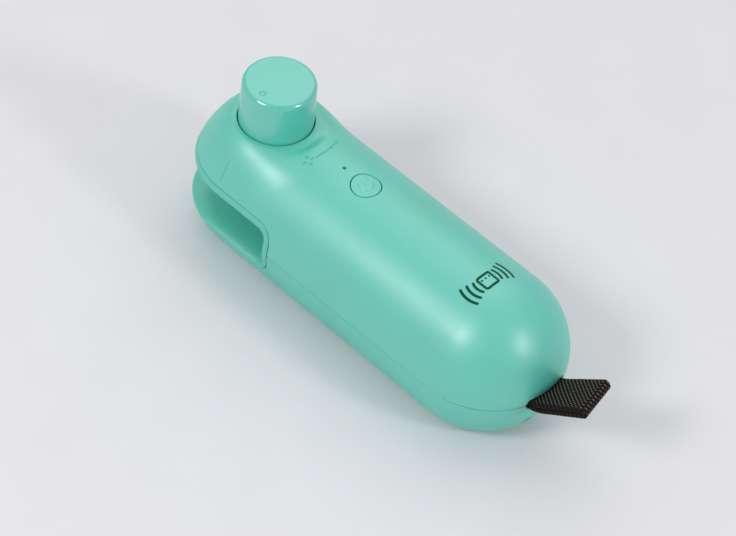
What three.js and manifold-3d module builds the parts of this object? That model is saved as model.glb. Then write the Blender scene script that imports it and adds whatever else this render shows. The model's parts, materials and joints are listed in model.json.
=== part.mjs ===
// Handheld bag heat sealer with a turn-and-press knob, a bag mouth and a carrying strap.
// Millimetres, +Z up, +X towards the strap, +Y across. The origin lies on the base plane
// under the middle of the overall box.
import * as THREE from "three";
import { mergeVertices } from "three/addons/utils/BufferGeometryUtils.js";
import Module from "manifold-3d";

const wasm = await Module();
wasm.setup();

// ---------- driving dimensions ----------
const OVERALL_LENGTH = 138.6; // front rim of the mouth to the fold of the strap
const BODY_RADIUS = 22; // half the body's width
const RIM_SETBACK = 0.85; // the rim of the mouth lies this far inside the body's radius
const AXIS_SPACING = 79.5; // between the centres of the two round ends
const SEAM_Z = 16.9; // parting plane of the two shells
const CROWN = 22.6; // ridge height over the parting plane
const CROWN_P = 1.83; // the crown's section is a superellipse with these two powers
const CROWN_Q = 1.92;
const BASE_FLAT = 13; // half width of the flat underside
const KEEL_P = 1.84; // power of the curve from the flat underside to the parting plane
const WALL = 2; // shell wall
const GAP = 0.3; // clearance between neighbouring pieces
const SEAM_HALF_GAP = 0.15;

const FRONT_X = BODY_RADIUS - RIM_SETBACK - OVERALL_LENGTH / 2; // axis of the front end and of the knob
const TAIL_X = FRONT_X + AXIS_SPACING; // axis of the tail end

const MOUTH_LOW_Z = 8.8; // bag mouth as cut in the shells
const MOUTH_HIGH_Z = 25.2;
const MOUTH_REACH = 20.8; // from the knob's axis back to the end of the mouth
const MOUTH_CORNER = 5;
const LINER = 2.2; // from the cut in the shells to the clear mouth

const KNOB_TOP_Z = 52;
const KNOB_TOP_R = 9.95;
const KNOB_EDGE = 1.2; // rounding of the knob's upper edge
const KNOB_LOW_R = 10.2;
const KNOB_SKIRT_Z = 36.9; // lower edge of the skirt, inside the body
const KNOB_HOLE_R = 10.55;
const KNOB_INNER_R = 8.4;
const KNOB_CEILING_Z = 50.1;
const RING_Z = 38.4; // level ring of the collar round the knob
const COLLAR_FALL = [11.6, 22]; // radii between which the collar falls away to the body
const COLLAR_DISH = [12.7, 15.2]; // and between which the ridge behind dips down to the ring
const DIMPLE = { reach: 6.6, radius: 1, depth: 0.3, bearing: -87 };

const BUTTON_X = FRONT_X + 33.2;
const BUTTON_R = 4;
const BUTTON_HOLE_R = 4.3;
const LED_X = FRONT_X + 25.25;

const HEATER = { halfX: 4, halfY: 10.5, bottom: 24, top: 27 };
const STRIP_HALF = 9.9; // half length of the heating strip
const PAD = { low: 10.15, high: 11.6 };
const STEM_R = 4; // carriage stem, which passes down through the liner's window
const FLANGE_Z = 45.6; // carriage flange that the spring pushes up
const GUIDE_PLATE_Z = 27.4;
const GUIDE_TOP_Z = 33.4;

const BOARD = { low: 30, high: 31.6 };
const BATTERY = { radius: 7, length: 50, startX: FRONT_X + 29, z: 10.5 };
const SCREW_Y = 10.5;
const SCREW_RECESS_R = 2.2;
const SCREW_XS = [FRONT_X + 28.3, TAIL_X + 3];
const BOARD_SCREW = { x: 16, y: 9 };
const PORT = { z: 6.7, width: 8.94, height: 3.26, backX: TAIL_X + 11, frontX: TAIL_X + 18.4 };
const PIN = { x: TAIL_X + 14.5, z: SEAM_Z, radius: 1.3, half: 10 };
const STRAP = { width: 12.3, thick: 2.9 };
const STRAP_SLOT = { halfWidth: 7, halfHeight: 2.3 };

// ---------- materials ----------
const finish = (color, roughness, metalness = 0) =>
  new THREE.MeshStandardMaterial({ color, roughness, metalness });
const SHELL = finish(0x6fcdb8, 0.42);
const LINER_PLASTIC = finish(0x74c4ae, 0.5);
const KNOB_GLOSS = finish(0x72cfba, 0.25);
const SILICONE = finish(0xb9c4c0, 0.75);
const BLACK_NYLON = finish(0x2b2b2d, 0.55);
const WHITE_NYLON = finish(0xe4e3dc, 0.5);
const STEEL = finish(0xb8babd, 0.3, 1);
const ALUMINIUM = finish(0xc9cccf, 0.4, 1);
const PTFE = finish(0xa8875c, 0.6);
const CIRCUIT = finish(0x1f5c3a, 0.5);
const CLEAR = finish(0xdfe9ea, 0.1);
const CELL_WRAP = finish(0x2f6fb0, 0.45);
const RED_WIRE = finish(0xb02626, 0.45);
const BLACK_WIRE = finish(0x1c1c1e, 0.45);
const RIBBON = finish(0xc47a25, 0.4);
const WEBBING = finish(0x4b423d, 0.9);

// ---------- solids ----------
// A closed geometry as a manifold-3d solid, whichever way its faces were wound.
function solid(geometry) {
  const loose = geometry.index ? geometry.toNonIndexed() : geometry;
  const bare = new THREE.BufferGeometry();
  bare.setAttribute("position", loose.getAttribute("position"));
  const merged = mergeVertices(bare, 1e-4);
  const corners = merged.index.array;
  const make = (flip) => {
    const triangles = [];
    for (let i = 0; i < corners.length; i += 3) {
      const [a, b, c] = corners.slice(i, i + 3);
      if (a !== b && b !== c && c !== a) triangles.push(a, ...(flip ? [c, b] : [b, c]));
    }
    const vertProperties = new Float32Array(merged.attributes.position.array);
    const triVerts = new Uint32Array(triangles);
    return new wasm.Manifold(new wasm.Mesh({ numProp: 3, vertProperties, triVerts }));
  };
  const made = make(false);
  return made.volume() < 0 ? make(true) : made;
}

function geometryOf(body) {
  const { numProp, vertProperties, triVerts } = body.getMesh();
  const position = new Float32Array((vertProperties.length / numProp) * 3);
  for (let i = 0; i < position.length / 3; i++)
    position.set(vertProperties.subarray(i * numProp, i * numProp + 3), i * 3);
  const geometry = new THREE.BufferGeometry();
  geometry.setAttribute("position", new THREE.BufferAttribute(position, 3));
  geometry.setIndex(new THREE.BufferAttribute(new Uint32Array(triVerts), 1));
  geometry.computeVertexNormals();
  return geometry;
}

const join = (...bodies) => bodies.reduce((a, b) => a.add(b));
const cut = (body, ...tools) => tools.reduce((a, b) => a.subtract(b), body);

function box(x0, x1, y0, y1, z0, z1) {
  const g = new THREE.BoxGeometry(x1 - x0, y1 - y0, z1 - z0);
  return solid(g.translate((x0 + x1) / 2, (y0 + y1) / 2, (z0 + z1) / 2));
}

function cylinder(radius, z0, z1, x = 0, y = 0, segments = 32) {
  const g = new THREE.CylinderGeometry(radius, radius, z1 - z0, segments).rotateX(Math.PI / 2);
  return solid(g.translate(x, y, (z0 + z1) / 2));
}

const tube = (inner, outer, z0, z1, x = 0, y = 0, segments = 32) =>
  cut(cylinder(outer, z0, z1, x, y, segments), cylinder(inner, z0 - 1, z1 + 1, x, y, segments));

// A solid of revolution about Z from [radius, z] pairs that start and end on the axis.
function lathe(points, x = 0, y = 0, segments = 40) {
  const outline = points.map(([r, z]) => new THREE.Vector2(r, z));
  return solid(new THREE.LatheGeometry(outline, segments).rotateX(Math.PI / 2).translate(x, y, 0));
}

// A shape drawn in X and Z, extruded across Y from y0 to y1.
function slabAcross(shape, y0, y1, curveSegments = 8) {
  const g = new THREE.ExtrudeGeometry(shape, {
    depth: y1 - y0,
    bevelEnabled: false,
    curveSegments,
  });
  return solid(g.rotateX(Math.PI / 2).translate(0, y1, 0));
}

// A shape drawn in Y and Z, extruded along X from x0 to x1.
function slabAlong(shape, x0, x1, curveSegments = 8) {
  const g = new THREE.ExtrudeGeometry(shape, {
    depth: x1 - x0,
    bevelEnabled: false,
    curveSegments,
  });
  return solid(g.rotateX(Math.PI / 2).rotateZ(Math.PI / 2).translate(x0, 0, 0));
}

function roundedRectangle(x0, x1, z0, z1, r) {
  const s = new THREE.Shape();
  s.absarc(x1 - r, z0 + r, r, -Math.PI / 2, 0);
  s.absarc(x1 - r, z1 - r, r, 0, Math.PI / 2);
  s.absarc(x0 + r, z1 - r, r, Math.PI / 2, Math.PI);
  s.absarc(x0 + r, z0 + r, r, Math.PI, 1.5 * Math.PI);
  s.closePath();
  return s;
}

// A round wire through the given points.
function wire(points, radius, steps = 14, sides = 3) {
  const section = new THREE.Shape();
  section.absarc(0, 0, radius, 0, 2 * Math.PI);
  const extrudePath = new THREE.CatmullRomCurve3(points.map((p) => new THREE.Vector3(...p)));
  const options = { steps, extrudePath, curveSegments: sides, bevelEnabled: false };
  return solid(new THREE.ExtrudeGeometry(section, options));
}

// ---------- the body's surface ----------
const crownZ = (d, inset = 0) => {
  const fall = 1 - Math.min(1, d / (BODY_RADIUS - inset)) ** CROWN_P;
  return SEAM_Z + (CROWN - inset) * fall ** (1 / CROWN_Q);
};

// [distance from the middle plane or end axis, z] up one side, from the base to the ridge.
function sideProfile(inset) {
  const flat = BASE_FLAT - inset / 2;
  const radius = BODY_RADIUS - inset;
  const keel = 5;
  const crown = 10;
  const points = [[0, inset]];
  for (let i = keel; i > 0; i--) {
    const t = (i / keel) * (Math.PI / 2);
    const out = flat + (radius - flat) * Math.max(Math.cos(t), 0) ** (2 / KEEL_P);
    points.push([out, SEAM_Z - (SEAM_Z - inset) * Math.sin(t) ** (2 / KEEL_P)]);
  }
  for (let i = 0; i < crown; i++) {
    const d = radius * Math.cos((i / crown) * (Math.PI / 2));
    points.push([d, crownZ(d, inset)]);
  }
  points.push([0, SEAM_Z + CROWN - inset]);
  return points;
}

// The whole body, drawn in from its surface by the inset.
function pill(inset) {
  const side = sideProfile(inset);
  const section = new THREE.Shape(side.map(([d, z]) => new THREE.Vector2(d, z)));
  [...side]
    .reverse()
    .filter(([d]) => d > 0)
    .forEach(([d, z]) => section.lineTo(-d, z));
  return join(
    lathe(side, FRONT_X, 0),
    lathe(side, TAIL_X, 0),
    slabAlong(section, FRONT_X, TAIL_X),
  );
}

const slice = (body, z0, z1) => body.intersect(box(-100, 100, -40, 40, z0, z1));

// Radii and heights of a skin that runs from the collar's ring to the ground by a share of 0 to 1.
function collarSkin([from, to], count, share, ground) {
  return Array.from({ length: count + 1 }, (_, i) => {
    const radius = from + ((to - from) * i) / count;
    return [radius, RING_Z + (ground(radius) - RING_Z) * share(i / count)];
  });
}

// The outer body with the collar raised round the knob and the ridge dished down to it.
function bodyWithCollar() {
  const quickFall = (t) => 1 - (1 - t) * (1 - t);
  const smooth = (t) => t * t * (3 - 2 * t);
  const fall = collarSkin(COLLAR_FALL, 10, quickFall, (r) => crownZ(r) - 0.02);
  const dip = collarSkin(COLLAR_DISH, 6, smooth, () => SEAM_Z + CROWN + 0.2);
  const rise = [[0, SEAM_Z - 0.02], ...fall.reverse(), [0, RING_Z]];
  const dish = [[0, RING_Z], ...dip, [COLLAR_DISH[1], KNOB_TOP_Z], [0, KNOB_TOP_Z]];
  return cut(join(pill(0), lathe(rise, FRONT_X)), lathe(dish, FRONT_X));
}

// The bag mouth seen from the side, open at the front, drawn in by the inset.
function mouth(inset) {
  const rear = FRONT_X + MOUTH_REACH - inset;
  const front = FRONT_X - BODY_RADIUS - 20;
  const radius = MOUTH_CORNER - inset * 0.6;
  return slabAcross(
    roundedRectangle(front, rear, MOUTH_LOW_Z + inset, MOUTH_HIGH_Z - inset, radius),
    -30,
    30,
  );
}

const screwPlaces = SCREW_XS.flatMap((x) => [-SCREW_Y, SCREW_Y].map((y) => [x, y]));
const boardScrewPlaces = [-BOARD_SCREW.y, BOARD_SCREW.y].map((y) => [BOARD_SCREW.x, y]);

function strapSlot() {
  const { halfWidth, halfHeight } = STRAP_SLOT;
  return box(TAIL_X + 15, TAIL_X + 25, -halfWidth, halfWidth, SEAM_Z - halfHeight, SEAM_Z + halfHeight);
}

// ---------- housing ----------
function upperShell() {
  const skin = cut(bodyWithCollar(), pill(WALL));
  const knobSleeve = cylinder(KNOB_HOLE_R + 1.65, 31, 38, FRONT_X, 0, 48);
  const bosses = screwPlaces.map(([x, y]) => cylinder(2.8, SEAM_Z + 0.6, 36, x, y, 20));
  const posts = boardScrewPlaces.map(([x, y]) => cylinder(2, BOARD.high + GAP, 36, x, y, 20));
  const inside = join(...bosses, ...posts).intersect(pill(WALL / 2));
  const pilots = screwPlaces.map(([x, y]) => cylinder(1.15, SEAM_Z - 5, 25, x, y, 12));
  const boardPilots = boardScrewPlaces.map(([x, y]) => cylinder(0.95, 20, 35, x, y, 12));
  const tongueRoom = slice(pill(WALL / 2), SEAM_Z - 1, SEAM_Z + 1.8);
  const whole = cut(
    join(skin, knobSleeve, inside),
    cylinder(KNOB_HOLE_R, 20, 45, FRONT_X, 0, 48),
    cylinder(BUTTON_HOLE_R, 30, 45, BUTTON_X),
    cylinder(0.6, 30, 45, LED_X, 0, 12),
    tongueRoom,
    mouth(0),
    strapSlot(),
    ...pilots,
    ...boardPilots,
  );
  return slice(whole, SEAM_Z + SEAM_HALF_GAP, 60);
}

function portHole() {
  const w = PORT.width / 2 + 0.35;
  const h = PORT.height / 2 + 0.35;
  const s = roundedRectangle(-w, w, PORT.z - h, PORT.z + h, h - 0.05);
  return slabAlong(s, TAIL_X + 14, TAIL_X + 26, 5);
}

function batterySaddle(x) {
  const rib = box(x - 0.9, x + 0.9, -10, 10, 1, BATTERY.z - 1.5);
  const bed = new THREE.Shape();
  bed.absarc(0, BATTERY.z, BATTERY.radius + 0.2, 0, 2 * Math.PI);
  return cut(rib, slabAlong(bed, x - 2, x + 2, 12));
}

function pinRib(side) {
  const rib = box(PIN.x - 2.4, PIN.x + 2.4, side * 8.6 - 1, side * 8.6 + 1, 1, SEAM_Z - 0.4);
  const groove = new THREE.Shape();
  groove.absarc(PIN.x, PIN.z, PIN.radius + 0.2, 0, 2 * Math.PI);
  return cut(rib, slabAcross(groove, -12, 12, 6));
}

function lowerShell() {
  const skin = slice(cut(pill(0), pill(WALL)), -1, SEAM_Z - SEAM_HALF_GAP);
  const tongue = slice(cut(pill(WALL / 2 + 0.2), pill(WALL)), SEAM_Z - 1, SEAM_Z + 1.5);
  const posts = screwPlaces.map(([x, y]) => cylinder(2.8, 0.5, SEAM_Z - 0.2, x, y, 20));
  const saddles = [0.2, 0.8].map((part) => batterySaddle(BATTERY.startX + BATTERY.length * part));
  const ribs = join(...posts, ...saddles, pinRib(-1), pinRib(1)).intersect(pill(WALL / 2));
  const shell = join(skin, tongue, ribs);
  const recesses = screwPlaces.map(([x, y]) => cylinder(SCREW_RECESS_R, -1, 6, x, y, 20));
  const holes = screwPlaces.map(([x, y]) => cylinder(1.25, 5, 20, x, y, 12));
  return cut(shell, mouth(0), strapSlot(), portHole(), ...recesses, ...holes);
}

// U-shaped lining of the bag mouth, flush with the body's surface round its rim.
function mouthLiner() {
  const block = pill(0).intersect(mouth(GAP));
  const { halfX, halfY } = HEATER;
  const opening = (gap, z0, z1) => box(-halfX - gap, halfX + gap, -halfY - gap, halfY + gap, z0, z1);
  const roofWindow = opening(0.4, 20, 28);
  const floorPocket = opening(GAP, PAD.low - 0.2, 14);
  return cut(
    block,
    mouth(LINER),
    roofWindow.translate([FRONT_X, 0, 0]),
    floorPocket.translate([FRONT_X, 0, 0]),
  );
}

function caseScrew() {
  const body = join(cylinder(1.85, 4.4, 5.95, 0, 0, 16), cylinder(1, 5.5, 24, 0, 0, 12));
  const cross = join(box(-1.1, 1.1, -0.3, 0.3, 4, 5), box(-0.3, 0.3, -1.1, 1.1, 4, 5));
  return cut(body, cross);
}

const boardScrew = () =>
  join(cylinder(1.6, BOARD.low - 1.2, BOARD.low - 0.05, 0, 0, 14), cylinder(0.8, 29, 34.5, 0, 0, 10));

// ---------- press head, about the knob's axis ----------
function pressGuide() {
  const plate = cylinder(7.8, GUIDE_PLATE_Z, GUIDE_PLATE_Z + 1.4);
  const sleeve = cylinder(6.2, GUIDE_PLATE_Z, GUIDE_TOP_Z);
  const legs = [-1, 1].map((side) => {
    const [near, far] = [5.2 * side, 7.1 * side].sort((a, b) => a - b);
    return box(near, far, -2.8, 2.8, MOUTH_HIGH_Z, GUIDE_PLATE_Z + 0.5);
  });
  return cut(join(plate, sleeve, ...legs), cylinder(STEM_R + GAP, 20, 40));
}

const pressCarriage = () =>
  cut(
    join(
      cylinder(STEM_R, HEATER.top + 0.1, FLANGE_Z + 0.5),
      cylinder(KNOB_INNER_R - 0.5, FLANGE_Z, FLANGE_Z + 1.2),
    ),
    cylinder(2.2, 20, 50, 0, 0, 20),
  );

function pressSpring() {
  const turns = 5;
  const low = GUIDE_PLATE_Z + 1.4 + 0.5;
  const high = FLANGE_Z - 0.5;
  const points = [];
  const steps = turns * 10;
  for (let i = 0; i <= steps; i++) {
    const a = (i / steps) * turns * 2 * Math.PI;
    points.push([7.1 * Math.cos(a), 7.1 * Math.sin(a), low + ((high - low) * i) / steps]);
  }
  return wire(points, 0.4, turns * 16, 3);
}

function heaterBlock() {
  const { halfX, halfY, bottom, top } = HEATER;
  const body = box(-halfX, halfX, -halfY, halfY, bottom, top);
  const channel = box(-1.7, 1.7, -halfY + 0.4, halfY - 0.4, bottom - 1, bottom + 0.3);
  return cut(body, channel);
}

const heatingStrip = () => 
  box(-1.5, 1.5, -STRIP_HALF, STRIP_HALF, HEATER.bottom - 0.25, HEATER.bottom + 0.2);
const ptfeCover = () => {
  const { halfX, halfY, bottom } = HEATER;
  return box(-halfX, halfX, -halfY, halfY, bottom - 0.65, bottom - 0.35);
};

const levelSwitch = () => tube(1.7, 5.2, FLANGE_Z + 1.3, 49.2, 0, 0, 24);
const levelRotor = () => cylinder(1.4, FLANGE_Z + 1.6, KNOB_CEILING_Z - 0.1, 0, 0, 16);

function pressKnob() {
  const outline = [[0, KNOB_SKIRT_Z], [KNOB_LOW_R, KNOB_SKIRT_Z], [KNOB_LOW_R, RING_Z]];
  for (let i = 0; i <= 4; i++) {
    const a = (i / 4) * (Math.PI / 2);
    const r = KNOB_TOP_R - KNOB_EDGE * (1 - Math.cos(a));
    outline.push([r, KNOB_TOP_Z - KNOB_EDGE * (1 - Math.sin(a))]);
  }
  outline.push([0, KNOB_TOP_Z - 0.35]);
  const bearing = THREE.MathUtils.degToRad(DIMPLE.bearing);
  const dimple = cylinder(
    DIMPLE.radius,
    KNOB_TOP_Z - 0.15 - DIMPLE.depth,
    KNOB_TOP_Z + 1,
    DIMPLE.reach * Math.cos(bearing),
    DIMPLE.reach * Math.sin(bearing),
    12,
  );
  return cut(lathe(outline), cylinder(KNOB_INNER_R, 30, KNOB_CEILING_Z, 0, 0, 48), dimple);
}

// Flat flexible lead from the heater out under the knob's skirt and up to the board.
function heaterRibbon() {
  const route = [[4.25, 26], [5.4, 25.4], [7.2, 25.2], [11.4, 25.2], [14.5, 26.6], [18, 29.3]];
  const curve = new THREE.SplineCurve(route.map(([x, z]) => new THREE.Vector2(x, z)));
  return slabAcross(bandAround(curve, 0.25, 14), 4.6, 8.6);
}

// An outline of constant thickness about a flat curve.
function bandAround(curve, thick, count) {
  const sides = [-0.5, 0.5].map((side) =>
    Array.from({ length: count + 1 }, (_, i) => {
      const t = curve.getTangentAt(i / count);
      return curve.getPointAt(i / count).add(new THREE.Vector2(-t.y, t.x).multiplyScalar(thick * side));
    }),
  );
  return new THREE.Shape([...sides[0], ...sides[1].reverse()]);
}

const thermistor = () => lathe([[0, 27.1], [0.7, 27.3], [0.9, 27.9], [0.5, 28.5], [0, 28.6]], 0, -9, 12);

// ---------- electronics ----------
const safetySwitch = () => box(12.6, 18.4, -10, 2.8, MOUTH_HIGH_Z + 0.2, 31.9);
const safetyPlunger = () => box(10.35, 12, -1.4, 1.4, 28, 29.4);

function mainBoard() {
  const front = LED_X - 3.5;
  const step = BUTTON_X + 6;
  const rear = TAIL_X - 3;
  const outline = new THREE.Shape([
    new THREE.Vector2(front, -6.2),
    new THREE.Vector2(step, -6.2),
    new THREE.Vector2(step + 4, -12),
    new THREE.Vector2(rear, -12),
    new THREE.Vector2(rear, 12),
    new THREE.Vector2(step + 4, 12),
    new THREE.Vector2(step, 6.2),
    new THREE.Vector2(front, 6.2),
  ]);
  const plate = new THREE.ExtrudeGeometry(outline, {
    depth: BOARD.high - BOARD.low,
    bevelEnabled: false,
  });
  const holes = boardScrewPlaces.map(([x, y]) => cylinder(1, 20, 40, x, y, 12));
  return cut(solid(plate.translate(0, 0, BOARD.low)), ...holes);
}

const tactSwitch = () =>
  cut(box(-3, 3, -3, 3, BOARD.high + 0.1, 34.3), cylinder(1.8, 33, 36, 0, 0, 20));
const tactPlunger = () => cylinder(1.6, 34, 35.2, 0, 0, 20);

function powerButton() {
  const cap = cylinder(BUTTON_R, 36.3, 45, BUTTON_X, 0, 40).intersect(pill(0.05));
  return join(cap, cylinder(1.7, 35.3, 37, BUTTON_X, 0, 20)).translate([-BUTTON_X, 0, 0]);
}

const lightPipe = () => join(cylinder(1.2, 32.8, 36.6, 0, 0, 16), cylinder(0.45, 36, 38.9, 0, 0, 10));

function usbReceptacle() {
  const { z, width, height, backX, frontX } = PORT;
  const ring = (w, h) => roundedRectangle(-w / 2, w / 2, z - h / 2, z + h / 2, h / 2 - 0.05);
  const shell = slabAlong(ring(width, height), backX, frontX, 5);
  const hollow = slabAlong(ring(width - 0.7, height - 0.7), backX + 2, frontX + 1, 5);
  return join(cut(shell, hollow), box(backX + 1, frontX - 0.6, -3.3, 3.3, z - 0.35, z + 0.35));
}

function chargeBoard() {
  const bottom = PORT.z + PORT.height / 2 + 0.32;
  return box(TAIL_X + 5, TAIL_X + 15.8, -7.2, 7.2, bottom, bottom + 1);
}

function batteryCell() {
  const { radius, length } = BATTERY;
  const outline = [
    [0, 0],
    [radius - 0.6, 0],
    [radius, 0.6],
    [radius, length - 1.8],
    [radius - 0.7, length - 1],
    [2.7, length - 1],
    [2.7, length],
    [0, length],
  ];
  return lathe(outline, 0, 0, 32);
}

const cellEnd = BATTERY.startX + BATTERY.length;
const positiveLead = () =>
  wire([[cellEnd + 0.8, 0, 10.5], [cellEnd + 1.6, 0.5, 15], [28, 3, 22], [24, 4, 27], [23.4, 4, 29.3]], 0.6);
const negativeLead = () =>
  wire(
    [
      [BATTERY.startX - 0.9, 0, 11],
      [BATTERY.startX - 1.8, -0.5, 17],
      [BATTERY.startX + 2, -2, 24],
      [BATTERY.startX + 6, -3, 29.3],
    ],
    0.6,
  );
const linkCable = () =>
  wire(
    [
      [TAIL_X + 8, -4.5, 10.7],
      [TAIL_X + 6, -4.5, 13.5],
      [TAIL_X - 1, -4.5, 21],
      [TAIL_X - 7, -4.5, 29],
    ],
    0.9,
  );

// ---------- strap ----------
// The folded webbing leaves the parting line on the tail and rises to its fold.
function strapCurve() {
  const end = OVERALL_LENGTH / 2 - 1;
  return new THREE.CatmullRomCurve3([
    new THREE.Vector3(PIN.x, 0, PIN.z),
    new THREE.Vector3(TAIL_X + 19.4, 0, SEAM_Z - 0.5),
    new THREE.Vector3(TAIL_X + 22.8, 0, SEAM_Z + 0.4),
    new THREE.Vector3(TAIL_X + 28.6, 0, SEAM_Z + 5.2),
    new THREE.Vector3(end, 0, SEAM_Z + 11),
  ]);
}

function carryStrap() {
  const steps = 16;
  const points = strapCurve().getSpacedPoints(steps);
  const flat = new THREE.SplineCurve(points.map((p) => new THREE.Vector2(p.x, p.z)));
  const band = slabAcross(bandAround(flat, STRAP.thick, steps), -STRAP.width / 2, STRAP.width / 2);
  const eye = new THREE.Shape();
  eye.absarc(PIN.x, PIN.z, PIN.radius + 1.35, 0, 2 * Math.PI);
  const bore = new THREE.Shape();
  bore.absarc(PIN.x, PIN.z, PIN.radius + 0.2, 0, 2 * Math.PI);
  const half = STRAP.width / 2;
  return cut(join(band, slabAcross(eye, -half, half, 10)), slabAcross(bore, -half - 1, half + 1, 8));
}

function strapPin() {
  const round = new THREE.Shape();
  round.absarc(PIN.x, PIN.z, PIN.radius, 0, 2 * Math.PI);
  return slabAcross(round, -PIN.half, PIN.half, 8);
}

// ---------- assembly ----------
function piece(name, body, material) {
  const mesh = new THREE.Mesh(geometryOf(body), material);
  mesh.name = name;
  return mesh;
}

function assembly(x, ...pieces) {
  const group = new THREE.Group();
  group.position.x = x;
  group.add(...pieces);
  return group;
}

function copies(name, places, make, material) {
  return places.map(([x, y], i) => {
    const mesh = piece(name + "_" + (i + 1), make(), material);
    mesh.position.set(x, y, 0);
    return mesh;
  });
}

const sealPad = () =>
  box(-HEATER.halfX, HEATER.halfX, -HEATER.halfY, HEATER.halfY, PAD.low, PAD.high);
const statusLed = () => box(-0.8, 0.8, -0.5, 0.5, BOARD.high + 0.1, 32.5);
const controlChip = () => box(-3.5, 3.5, -3.5, 3.5, 28.8, BOARD.low - 0.1);
const powerInductor = () => cylinder(3.4, 26.6, BOARD.low - 0.1, 0, 0, 24);

const cell = piece("battery_cell", batteryCell(), CELL_WRAP);
cell.rotation.y = Math.PI / 2;
cell.position.set(BATTERY.startX, 0, BATTERY.z);

const chip = piece("control_chip", controlChip(), BLACK_NYLON);
chip.position.x = -2;
const inductor = piece("power_inductor", powerInductor(), BLACK_NYLON);
inductor.position.set(9, -4, 0);

const sealer = new THREE.Group();
sealer.name = "handheld_bag_heat_sealer";
sealer.add(
  piece("upper_shell", upperShell(), SHELL),
  piece("lower_shell", lowerShell(), SHELL),
  piece("mouth_liner", mouthLiner(), LINER_PLASTIC),
  ...copies("case_screw", screwPlaces, caseScrew, STEEL),
  assembly(
    FRONT_X,
    piece("press_guide", pressGuide(), WHITE_NYLON),
    piece("seal_pad", sealPad(), SILICONE),
    piece("press_carriage", pressCarriage(), WHITE_NYLON),
    piece("press_spring", pressSpring(), STEEL),
    piece("heater_block", heaterBlock(), ALUMINIUM),
    piece("heating_strip", heatingStrip(), STEEL),
    piece("ptfe_cover", ptfeCover(), PTFE),
    piece("thermistor", thermistor(), BLACK_NYLON),
    piece("heater_ribbon", heaterRibbon(), RIBBON),
    piece("level_switch", levelSwitch(), BLACK_NYLON),
    piece("level_rotor", levelRotor(), STEEL),
    piece("press_knob", pressKnob(), KNOB_GLOSS),
    piece("safety_switch", safetySwitch(), BLACK_NYLON),
    piece("safety_plunger", safetyPlunger(), WHITE_NYLON),
  ),
  assembly(
    BUTTON_X,
    piece("power_button", powerButton(), SHELL),
    piece("tact_switch", tactSwitch(), BLACK_NYLON),
    piece("tact_plunger", tactPlunger(), WHITE_NYLON),
  ),
  assembly(LED_X, piece("light_pipe", lightPipe(), CLEAR), piece("status_led", statusLed(), CLEAR)),
  piece("main_board", mainBoard(), CIRCUIT),
  ...copies("board_screw", boardScrewPlaces, boardScrew, STEEL),
  chip,
  inductor,
  cell,
  piece("battery_lead_positive", positiveLead(), RED_WIRE),
  piece("battery_lead_negative", negativeLead(), BLACK_WIRE),
  piece("charge_board", chargeBoard(), CIRCUIT),
  piece("usb_c_receptacle", usbReceptacle(), STEEL),
  piece("board_link_cable", linkCable(), BLACK_WIRE),
  piece("strap_pin", strapPin(), STEEL),
  piece("carry_strap", carryStrap(), WEBBING),
);

export default sealer;
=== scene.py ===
"""Handheld bag heat sealer: a round-ended body with a bag mouth, a press knob and a webbing strap."""

import json
import math

import bmesh
import bpy
import numpy as np
from mathutils import Matrix, Vector


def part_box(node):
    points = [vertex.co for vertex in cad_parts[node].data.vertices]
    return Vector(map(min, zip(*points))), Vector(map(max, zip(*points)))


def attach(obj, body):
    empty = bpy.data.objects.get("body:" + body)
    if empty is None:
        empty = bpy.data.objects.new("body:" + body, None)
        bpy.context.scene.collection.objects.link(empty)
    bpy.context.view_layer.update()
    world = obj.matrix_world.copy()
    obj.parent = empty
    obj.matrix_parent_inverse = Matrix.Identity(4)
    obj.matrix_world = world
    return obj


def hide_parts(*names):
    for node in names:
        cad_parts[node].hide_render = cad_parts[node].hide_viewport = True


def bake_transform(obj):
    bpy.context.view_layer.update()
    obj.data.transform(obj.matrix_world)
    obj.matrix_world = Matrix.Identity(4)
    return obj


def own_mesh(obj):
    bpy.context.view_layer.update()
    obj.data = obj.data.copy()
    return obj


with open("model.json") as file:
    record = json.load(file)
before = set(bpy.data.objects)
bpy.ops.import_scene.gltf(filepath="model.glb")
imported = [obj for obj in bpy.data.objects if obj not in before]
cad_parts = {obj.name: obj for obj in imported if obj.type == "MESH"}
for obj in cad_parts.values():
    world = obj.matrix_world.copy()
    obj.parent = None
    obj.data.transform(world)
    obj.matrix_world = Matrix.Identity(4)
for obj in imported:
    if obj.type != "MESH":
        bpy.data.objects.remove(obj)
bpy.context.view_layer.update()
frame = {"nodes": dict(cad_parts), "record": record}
MM = 0.001  # shapes are worked out in millimetres and written in metres


def side(node, axis, end):
    """Lowest (end 0) or highest (end 1) coordinate of a CAD node on an axis, in millimetres."""
    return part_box(node)[end][axis] / MM


# ---------- driving dimensions, millimetres ----------
RADIUS = side("lower_shell", 1, 1)  # half the body's width
TAIL_X = side("lower_shell", 0, 1) - RADIUS  # axis of the tail end
FRONT_X = (side("press_knob", 0, 0) + side("press_knob", 0, 1)) / 2  # axis of the front end and the knob
SEAM_Z = (side("strap_pin", 2, 0) + side("strap_pin", 2, 1)) / 2  # parting plane, which holds the pin
CROWN = 22.6  # ridge height over the parting plane
CROWN_P, CROWN_Q = 1.83, 1.92  # powers of the crown's section
BASE_FLAT = 13.0  # half width of the flat underside
KEEL_P = 1.84  # power of the curve up from the underside
WALL = 2.0
LAND = WALL - 0.3  # depth to which a shell's edge stays straight below its rounding
ON_SURFACE, FACING = 0.012, 0.9  # what counts as lying on the body's surface, and facing the same way

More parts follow.
